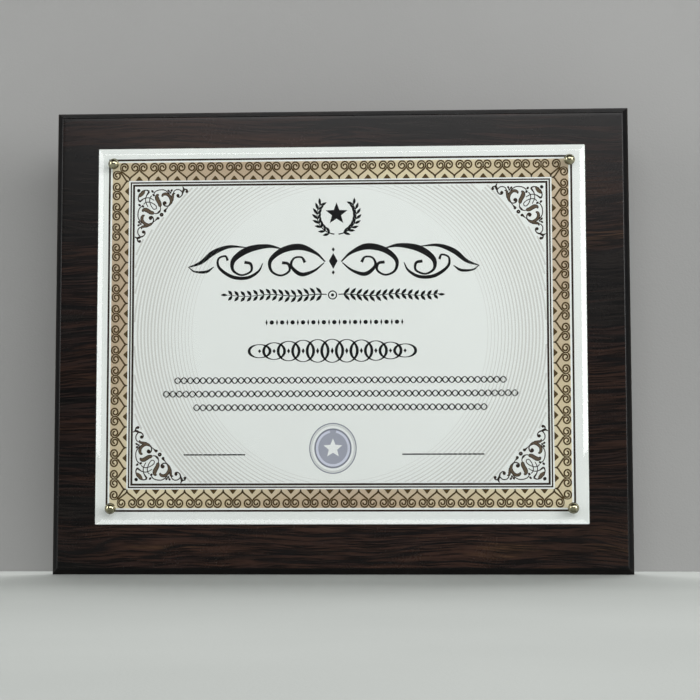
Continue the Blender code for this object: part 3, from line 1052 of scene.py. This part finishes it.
dark_skins, brown_skins = [], []
for signs in CORNERS.values():

    def placed(points):
        """From (along, down, ...) millimetres to (u, v) in the paper plane, for this corner."""
        inward = points[:, :2] * (1, ORNAMENT_STRETCH) * MM
        return PRINT_MIDDLE + np.array(signs) * (STRONG_LINE - 0.5 * MM - inward)

    for points in both_halves(CORNER_LINES + CORNER_LEAVES):
        line = smooth_line(points, 5)
        dark_skins.append(stroke(placed(line), (line[:, 2] + BOLDER) * MM, 1))
    for points in both_halves(CORNER_LEAVES):
        line = smooth_line(points, 5)[2:-2]
        width = np.maximum(line[:, 2] + BOLDER - OUTLINE, 0.1)
        brown_skins.append(stroke(placed(line), width * MM, 2))
    brown_skins.append(filled(placed(CORNER_CRESCENT), 2))
    for points in both_halves([[dot] for dot in CORNER_DOTS]):
        dark_skins.append(filled(circle(placed(points)[0], points[0, 2] * MM, 12), 2))
    small_ring = circle(placed(CORNER_MIDDLE)[0], 0.64 * MM, 20)
    dark_skins.append(stroke(small_ring, 1.0 * MM, 2, loop=True))
print_piece("corner_outlines", dark_skins, inks["line"])
print_piece("corner_leaves", brown_skins, inks["leaf"])

# %% [markdown]
# ## The ornaments in the middle
#
# Between the corners the sheet carries black ornaments and rules, like a blank form before it is
# filled in. The topmost of them is a pen flourish: on each side of a lozenge, six swelling strokes,
# most of which end in curls.

# %% Pen flourish
FLOURISH_MIDDLE = np.array([-4.2, 42.0]) * MM
FLOURISH_BOLDER = 1.45
FLOURISH_STROKES = [
    [(4.6, -0.4, 0.5), (10, 4.6, 1.2), (19, 8.2, 2.5), (29, 6.4, 2.3), (36, 0.6, 1.6),
     (35.4, -5.6, 1.0), (30, -8.2, 0.8), (25.2, -5.6, 0.9), (25.8, -1.6, 1.1), (29.4, -0.8, 1.2)],
    [(5.2, -1.0, 0.4), (11, -5.6, 1.0), (18.4, -7.6, 1.6), (24, -3.0, 1.2), (22.6, 1.6, 0.8),
     (18.2, 2.2, 0.8), (16.2, -0.8, 1.2)],
    [(30, 7.4, 0.4), (38, 8.8, 1.6), (49, 6.8, 2.6), (57, 1.2, 2.0), (57.6, -4.8, 1.1),
     (52.6, -7.8, 0.8), (47.2, -5.6, 0.9), (47.4, -1.4, 1.1), (51, -0.4, 1.2)],
    [(40.4, -1.0, 0.3), (43, -5.8, 0.9), (49.4, -9.4, 1.3), (58, -8.8, 1.4), (65.4, -3.6, 1.1),
     (66, 1.6, 0.8), (62, 3.2, 0.8), (60.6, 0.6, 1.0)],
    [(50, 8.2, 0.3), (60, 8.6, 1.3), (69, 5.2, 2.0), (76, -0.4, 1.4), (83.4, -3.2, 0.3)],
    [(68.6, -3.0, 0.3), (73, -5.8, 1.1), (79.6, -5.6, 0.7), (83.0, -3.2, 0.3)],
]


def lozenge(middle, half_width, half_height, layer=0):
    """A diamond: one corner on each side of the middle, half its width or height away."""
    flat = np.array([(0, half_height), (half_width, 0), (0, -half_height), (-half_width, 0)])
    return filled(np.asarray(middle) + flat, layer)


flourish = [lozenge(FLOURISH_MIDDLE, 2.5 * MM, 4.6 * MM)]
for away in (6.6, -6.6):
    flourish.append(lozenge(FLOURISH_MIDDLE + (0, away * MM), 0.9 * MM, 1.3 * MM))
for points in FLOURISH_STROKES:
    line = smooth_line(points, 7) * MM
    width = np.maximum(line[:, 2], 0.02 * MM) * FLOURISH_BOLDER
    for side in (1, -1):
        flourish.append(stroke(FLOURISH_MIDDLE + line[:, :2] * (side, 1), width, 0))
print("flourish:", len(flourish), "skins")

# %% [markdown]
# Under the flourish lies a laurel branch: short pointed leaves in pairs on a thin stem, leaning
# away from a small ring in the middle. A leaf is a stroke that starts and ends at nothing.

# %% Laurel line
LAUREL_MIDDLE = np.array([-4.6, 22.4]) * MM
STEM_WAVE, WAVE_RATE = 0.5 * MM, 0.22
LEAF_LEAN = math.radians(48)


def leaf(root, lean, length, width):
    """A pointed leaf: its width is the sine of the way along it, and its line bends a little."""
    way = np.linspace(0, 1, 7)
    bend = lean + 0.35 * (way[:-1] - 0.5) * np.sign(math.sin(lean) + 1e-9)
    steps = np.stack([np.cos(bend), np.sin(bend)], axis=1) * length / 6
    line = np.asarray(root) + np.concatenate([np.zeros((1, 2)), np.cumsum(steps, axis=0)])
    return stroke(line, np.maximum(width * np.sin(math.pi * way), 0.05 * MM), 1)


def on_stem(reach, side):
    """A point of the stem: its height swings with the sine of the distance from the middle."""
    height = STEM_WAVE * np.sin(np.asarray(reach) * WAVE_RATE)
    return LAUREL_MIDDLE + np.stack([side * np.asarray(reach) * MM, height], axis=-1)


laurel = [stroke(circle(LAUREL_MIDDLE, 2.3 * MM, 32), 0.7 * MM, 0, loop=True)]
laurel.append(filled(circle(LAUREL_MIDDLE, 0.9 * MM, 16), 0))
for side in (1, -1):
    stem = on_stem(np.linspace(3.4, 61, 40), side)
    laurel.append(stroke(stem, np.linspace(0.6, 0.3, 40) * MM, 0))
    outwards = 0.0 if side > 0 else math.pi
    for number, reach in enumerate(np.linspace(6.2, 57.5, 15)):
        for lean in (LEAF_LEAN, -LEAF_LEAN):
            length = (5.2 - 0.10 * number) * MM
            laurel.append(leaf(on_stem(reach, side), outwards + side * lean, length, 1.75 * MM))
    tip = LAUREL_MIDDLE + np.array([side * 60.2, 0.2]) * MM
    laurel.append(leaf(tip, outwards, 4 * MM, 1.5 * MM))
print("laurel:", len(laurel), "skins")

# %% [markdown]
# Below the branch follow a row of beads, a chain of ovals and three plaits. A plait is two sines
# that swing against each other. The chain's ovals overlap, are tallest in the middle, and their
# strokes are broad at the sides and fine at the top, as a broad pen draws them.


# %% Rules, plaits and chains
def rule(left, right, v):
    """A straight line of ink. A point in its middle keeps both halves even."""
    line = np.array([(left, v), ((left + right) / 2, v), (right, v)])
    return stroke(line * MM, 0.75 * MM, 0)


def plait(left, right, v, swing=1.75, pitch=7.4, width=0.62):
    """Two lines, v plus and minus swing sin a, with one turn of a in each pitch. Where a line
    crosses the middle it is at its broadest."""
    turns = round((right - left) / pitch)
    a = np.linspace(0, 2 * math.pi * turns, 10 * turns + 1)
    u = np.linspace(left, right, len(a))
    thick = width * (0.75 + 0.5 * np.abs(np.cos(a))) * MM
    lines = [np.stack([u, v + side * swing * np.sin(a)], axis=1) for side in (1, -1)]
    return [stroke(line * MM, thick, 0) for line in lines]


def oval(middle, half_width, half_height, fine=0.45, broad=1.65):
    """A ring on an ellipse. Its stroke is broad at the sides: fine + (broad - fine) cos^2 a."""
    a = -np.linspace(0, 2 * math.pi, 36, endpoint=False)
    width = fine + (broad - fine) * np.cos(a) ** 2
    line = round_about(middle, a, half_width, half_height)
    return stroke(line * MM, width * MM, 0, loop=True)


# %% Rows of ornament
BEAD_MIDDLE, BEAD_PITCH = np.array([-3.6, 6.8]), 2.98
CHAIN_MIDDLE, CHAIN_PITCH = np.array([-4.8, -9.6]), 8.3
PLAITS = ((-95.0, 94.0, -26.3), (-101.5, 100.5, -34.0), (-84.0, 83.0, -41.8))
RULES = ((-89.5, -54.4, -68.6), (34.9, 81.2, -68.5))
rows = []
for number in range(-13, 14):
    middle = (BEAD_MIDDLE + (number * BEAD_PITCH, 0)) * MM
    if number % 2:
        rows.append(lozenge(middle, 0.62 * MM, 1.75 * MM))
    else:
        rows.append(filled(circle(middle, 1.25 * MM, 12), 0))
for number in range(-5, 6):
    away = number / 6
    middle = CHAIN_MIDDLE + (number * CHAIN_PITCH, 0)
    rows.append(oval(middle, 6.0, 6.6 * (1 - 0.62 * away**2)))
    rows.append(lozenge(middle * MM, 0.9 * MM, (2.0 - abs(away)) * MM, 1))
for ends in PLAITS:
    rows += plait(*ends)
rows += [rule(*ends) for ends in RULES]
print_piece("written_parts", flourish + laurel + rows, inks["black"])

# %% [markdown]
# A small emblem stands above the flourish: a five-pointed star between two laurel sprigs, as on
# countless medals. A star's outline alternates between two radii.

# %% Emblem
EMBLEM_MIDDLE = np.array([-2.3, 68.6]) * MM
SPRIG_RADIUS = 11.2 * MM


def star(middle, radius, inner):
    """Ten corners, clockwise, at radius and at inner x radius from the middle in turn."""
    a = math.pi / 2 - np.arange(10) * math.pi / 5
    reach = radius * np.tile([1.0, inner], 5)
    return round_about(middle, a, reach, reach)


emblem = [filled(star(EMBLEM_MIDDLE + (0, 0.6 * MM), 6.6 * MM, 0.42), 0)]
for side in (1, -1):
    a = np.radians(np.linspace(-84, 38, 26))
    sprig = round_about(EMBLEM_MIDDLE, a, side * SPRIG_RADIUS, SPRIG_RADIUS)
    emblem.append(stroke(sprig, np.linspace(0.7, 0.35, 26) * MM, 0))
    for a in np.radians(np.linspace(-70, 30, 8)):
        root = round_about(EMBLEM_MIDDLE, a[None], side * SPRIG_RADIUS, SPRIG_RADIUS)[0]
        for lean in (0.62, -0.62):
            way = a + math.pi / 2 + lean
            way = way if side > 0 else math.pi - way
            emblem.append(leaf(root, way, 4.4 * MM, 1.55 * MM))
print_piece("emblem", emblem, inks["black"])

# %% [markdown]
# The seal is printed too. From the outside in there are a fine grey ring, a pale one, a white one,
# and a violet-grey disc with a darker rim and a lavender ring that is broken at the top. A small
# white star stands in its middle.

# %% Seal
SEAL_MIDDLE = np.array([-4.4, -65.1]) * MM
TALLER = 1.07


def seal_ring(name, radius, width, layer, colour):
    """One inked ring as a piece, with its radius to the stroke's middle and its width in mm."""
    ring = circle(SEAL_MIDDLE, radius * MM, 64, TALLER)
    print_piece(name, [stroke(ring, width * MM, layer, loop=True)], inks[colour])


seal_ring("seal_outer", 13.2, 0.55, 0, "deep_violet")
seal_ring("seal_pale", 12.35, 1.1, 0, "pale")
seal_ring("seal_white", 11.18, 1.05, 0, "white")
disc = filled(circle(SEAL_MIDDLE, 10.3 * MM, 56, TALLER), 0)
print_piece("seal_disc", [disc], inks["violet"])
seal_ring("seal_rim", 10.15, 0.85, 1, "deep_violet")
a = math.pi / 2 - np.linspace(0.19, 2 * math.pi - 0.19, 60)
broken_ring = round_about(SEAL_MIDDLE, a, 9.0 * MM, TALLER * 9.0 * MM)
print_piece("seal_lavender", [stroke(broken_ring, 1.35 * MM, 1)], inks["lavender"])
print_piece("seal_star", [filled(star(SEAL_MIDDLE, 5.6 * MM, 0.45), 1)], inks["white"])

# %% [markdown]
# ## The clear cover
#
# The cover is acrylic. Light goes straight through it to the paper, so for rays of light the finish
# is simply clear. Everything else sees a clear plastic that bends and mirrors light, with the faint
# waviness of a cast sheet. The slope is cut and then polished, and keeps long fine lines from the
# cutter. A mask by place puts them on the slope alone.

# %% Acrylic
SLOPE_WIDTH, SLOPE_DEPTH = 3.3 * MM, 1.6 * MM
TINT_FOR_LIGHT = (0.94, 0.95, 0.945)


def light_rays(tree):
    """1 for rays that carry light on from a lamp or from a matt surface, and 0 for what is looked
    at."""
    rays = put("LightPath", {}, tree)
    return rays["Is Shadow Ray"].step("MAXIMUM", rays["Is Diffuse Ray"])


def let_through(shader, share, tint):
    """Puts a clear shader in the shader's place where share is 1."""
    tree = shader.id_data
    clear = put("BsdfTransparent", {"Color": tint}, tree)[0]
    either = put("MixShader", {0: share, 1: Value(shader.outputs[0]), 2: clear})[0]
    fill(tree.nodes["Material Output"], {"Surface": either})


acrylic, shader, place = new_finish("clear_acrylic")
x, _, z = along_axes(place)
from_end = cover_high.z - SHEET_MIDDLE - abs(z - SHEET_MIDDLE)
nearest = (cover_high.x - abs(x)).step("MINIMUM", from_end)
cutter_lines = noise(put("CombineXYZ", {"X": nearest})[0], 3000.0, 3.0)
on_slope = between(nearest, SLOPE_WIDTH - 0.1 * MM, SLOPE_WIDTH - 0.2 * MM)
marks = use(handling, Vector=place, Fine=1100.0)["Marks"]
set_shader(
    shader,
    Base_Color=(0.985, 0.995, 0.99),
    Roughness=between(marks, 0.45, 0.75, 0.0, 0.05),
    IOR=1.49,
    Transmission_Weight=1.0,
    Normal=bump(cutter_lines * on_slope * 0.5 + noise(place, 30.0, 1.0) * 0.05, 0.02 * MM),
)
let_through(shader, light_rays(acrylic.node_tree), TINT_FOR_LIGHT)
print("finish:", acrylic.name)

# %% Cover
cover_profile = [
    (SLOPE_WIDTH + 1 * MM, cover_low.y),
    (SLOPE_WIDTH, cover_low.y),
    (SLOPE_WIDTH / 2, cover_low.y + SLOPE_DEPTH / 2 - 0.12 * MM),
    (0, cover_low.y + SLOPE_DEPTH),
    (0, cover_high.y),
    (1 * MM, cover_high.y),
]
cover_radii = [0.12 * MM, 1.4 * MM, 0.15 * MM, 0.12 * MM]
cover_profile = rounded_profile(cover_profile, cover_radii)
cover_skin = plate_skin(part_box("cover_plate"), cover_profile, 0.5 * MM)
cover = make_piece(
    "clear_cover", cover_skin, acrylic, "cover", "cover_plate"
)
cut(cover, pin_holes)

# %% [markdown]
# ## The tacks
#
# A cap is a thin brass shell, pressed to a high dome and crimped round the flat head of a steel
# pin. Both are turned shapes: a profile of (radius, height) points carried round the tack's axis,
# with height towards the viewer. Where the profile meets the axis, all points of a ring fall
# together and are merged into one.

# %% Turned shapes
cap_low, cap_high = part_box("tack_cap_top_left")
pin_low, pin_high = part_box("tack_pin_top_left")
SEAT = cap_high.y


def turned_skin(profile, middle, sides):
    """Every (radius, height) gives the circle of points middle + radius (cos a, sin a), with a
    falling, so that the faces look outwards."""
    radius, height = np.array(profile, float).T[:, :, None]
    a = -np.linspace(0, 2 * math.pi, sides, endpoint=False)
    x, z = middle[0] + radius * np.cos(a), middle[1] + radius * np.sin(a)
    y = np.broadcast_to(SEAT - height, x.shape)
    return ring_skin(np.stack([x, y, z], axis=2), ends=False)


def dome(radius, rise, base, steps=14):
    """A quarter of an ellipse from the axis outwards: radius sin a, base + rise cos a."""
    a = np.linspace(0, math.pi / 2, steps + 1)
    return np.stack([radius * np.sin(a), base + rise * np.cos(a)], axis=1)


# %% [markdown]
# Brass goes from a muted yellow to olive where it has been touched. The groove at the foot of the
# dome is painted nearly black as painted shade. A mask by height above the cover finds that groove.
# Steel is a cold grey with a little grain along the wire.

# %% Metals
GROOVE_HEIGHT = 1.05 * MM


def shade_in_groove(place, colour):
    """Painted shade: turns a colour nearly black near the groove's height above the cover."""
    above_cover = cover_low.y - along_axes(place)[1]
    share = between(abs(above_cover - GROOVE_HEIGHT), 0.1 * MM, 0.3 * MM, 0.85, 0.0)
    return mixed(share, colour, (0.03, 0.027, 0.018))


def metal(name, gloss, wear, clean, worn, hairline, painted_shade=None):
    """A metal with the polish group in it. Its colour goes from clean to worn over a range of the
    tarnish, and a painted shade may darken it by place."""
    material, shader, place = new_finish(name)
    surface = use(polish, Vector=place, Smoothest=gloss[0], Dullest=gloss[1])
    colour = mixed(between(surface["Tarnish"], *wear), clean, worn)
    set_shader(
        shader,
        Base_Color=painted_shade(place, colour) if painted_shade else colour,
        Metallic=1.0,
        Roughness=surface["Roughness"],
        Normal=bump(surface["Height"], hairline),
    )
    return material


yellow, olive = (0.46, 0.43, 0.29), (0.29, 0.275, 0.18)
cold, grey = (0.62, 0.62, 0.61), (0.42, 0.41, 0.40)
brass = metal(
    "polished_brass", (0.08, 0.20), (0.4, 0.75), yellow, olive, 0.004 * MM, shade_in_groove
)
steel = metal("plated_steel", (0.22, 0.40), (0.45, 0.75), cold, grey, 0.006 * MM)
print("metals:", brass.name, steel.name)

# %% Four tacks
CAP_RADIUS, CAP_HEIGHT = (cap_high.x - cap_low.x) / 2, cap_high.y - cap_low.y
WALL, MOUTH, DOME, FOOT = 0.35 * MM, 1.8 * MM, 2.80 * MM, 0.85 * MM
BEAD = [(2.74, 0.66), (2.76, 0.50), (2.83, 0.46), (2.91, 0.52), (3.00, 0.54), (3.10, 0.48),
        (3.175, 0.34), (3.175, 0.16)]
lip = [(CAP_RADIUS - 0.10 * MM, 0.0), (MOUTH, 0.0), (MOUTH, WALL), (DOME - WALL, WALL)]
hollow = dome(DOME - WALL, CAP_HEIGHT - FOOT - WALL, FOOT)[::-1]
outside = dome(DOME, CAP_HEIGHT - FOOT, FOOT)
cap_profile = np.concatenate([outside, np.array(BEAD) * MM, lip, hollow])
PLATE_RADIUS, PLATE, WIRE = (pin_high.x - pin_low.x) / 2, 0.6 * MM, 0.8 * MM
top, tip = SEAT - pin_low.y, SEAT - pin_high.y
pin_profile = [
    (0.0, top),
    (PLATE_RADIUS - 0.08 * MM, top),
    (PLATE_RADIUS, top - 0.08 * MM),
    (PLATE_RADIUS, top - PLATE),
    (0.95 * MM, top - PLATE),
    (WIRE, top - PLATE - 0.15 * MM),
    (WIRE, tip + 1.7 * MM),
    (0.72 * MM, tip + 1.45 * MM),
    (0.0, tip),
]
TACK_PARTS = (
    ("brass_cap_", cap_profile, 56, brass, "brass", "tack_cap_"),
    ("steel_pin_", pin_profile, 28, steel, "steel", "tack_pin_"),
)
for corner, middle in tack_middles.items():
    for name, profile, sides, metal_of_part, slot, solid in TACK_PARTS:
        skin = turned_skin(profile, middle, sides)
        body = "tack_" + corner
        make_piece(name + corner, skin, metal_of_part, body, solid + corner, merge=True)

# %% [markdown]
# ## The table, the wall and the light
#
# The plaque stands on a pale table close to a grey wall, and its soft shadow falls on both. The
# wall is only there for eyes and mirrors in front of it: it lets light and looks from behind
# through, so that the back can be seen and lit.

# %% Table and wall
WALL_Y = back_high.y + 35 * MM
TABLE_FRONT_Y = -0.98


def stage_piece(name, corners, colour):
    """A flat piece of the surroundings, from its four corners. Gives the shader of its finish."""
    mesh = bpy.data.meshes.new(name)
    mesh.from_pydata(corners, [], [[0, 1, 2, 3]])
    material, shader, place = new_finish(name)
    lighter = [1.06 * value for value in colour]
    set_shader(
        shader,
        Base_Color=mixed(between(noise(place, 6.0, 3.0), 0.3, 0.7), colour, lighter),
        Roughness=0.85,
        Specular_IOR_Level=0.1,
        Normal=bump(noise(place, 900.0), 0.1 * MM),
    )
    mesh.materials.append(material)
    in_scene(name, mesh)
    return shader


table_corners = [(-3, TABLE_FRONT_Y, 0), (3, TABLE_FRONT_Y, 0), (3, WALL_Y, 0), (-3, WALL_Y, 0)]
wall_corners = [(-3, WALL_Y, 0), (3, WALL_Y, 0), (3, WALL_Y, 3), (-3, WALL_Y, 3)]
stage_piece("pale_table", table_corners, (0.365, 0.382, 0.365))
shader = stage_piece("grey_wall", wall_corners, (0.34, 0.34, 0.335))
from_behind = put("NewGeometry", {}, shader.id_data)["Backfacing"]
passing = from_behind.step("MAXIMUM", light_rays(shader.id_data))
let_through(shader, passing, (1, 1, 1))
print("wall at:", WALL_Y)

# %% [markdown]
# A broad soft lamp high behind the camera gives the tacks their highlights and the board's top edge
# its shine. Two tall ones at the sides, the right one a little stronger, light the paper evenly,
# and one behind the plaque lights its back and the table. The rest is a faint, even grey
# surrounding.

# %% Lamps and surroundings
PLAQUE, TABLE_EDGE = (0, 0, 0.13), (0, -0.1, 0)
LAMPS = (
    ("ceiling_lamp", (0.3, -1.6, 1.02), PLAQUE, (1.8, 0.8), 18.0),
    ("right_lamp", (1.34, -0.87, 0.58), PLAQUE, (0.6, 1.1), 14.5),
    ("left_lamp", (-1.41, -0.75, 0.58), PLAQUE, (0.6, 1.1), 9.7),
    ("rear_lamp", (0.1, 1.0, 1.35), TABLE_EDGE, (1.4, 1.0), 36),
)
for name, place, aim, size, power in LAMPS:
    data = bpy.data.lights.new(name, "AREA")
    data.shape = "RECTANGLE"
    data.size, data.size_y = size
    data.energy = power
    lamp = in_scene(name, data)
    lamp.location = place
    lamp.rotation_euler = (Vector(aim) - Vector(place)).to_track_quat("-Z", "Y").to_euler()
world = bpy.data.worlds.new("even_room")
bpy.context.scene.world = world
world.use_nodes = True
fill(world.node_tree.nodes["Background"], {"Color": (0.97, 0.99, 1.0), "Strength": 0.045})
bpy.context.scene.view_settings.view_transform = "Standard"
print("lamps:", len(LAMPS))
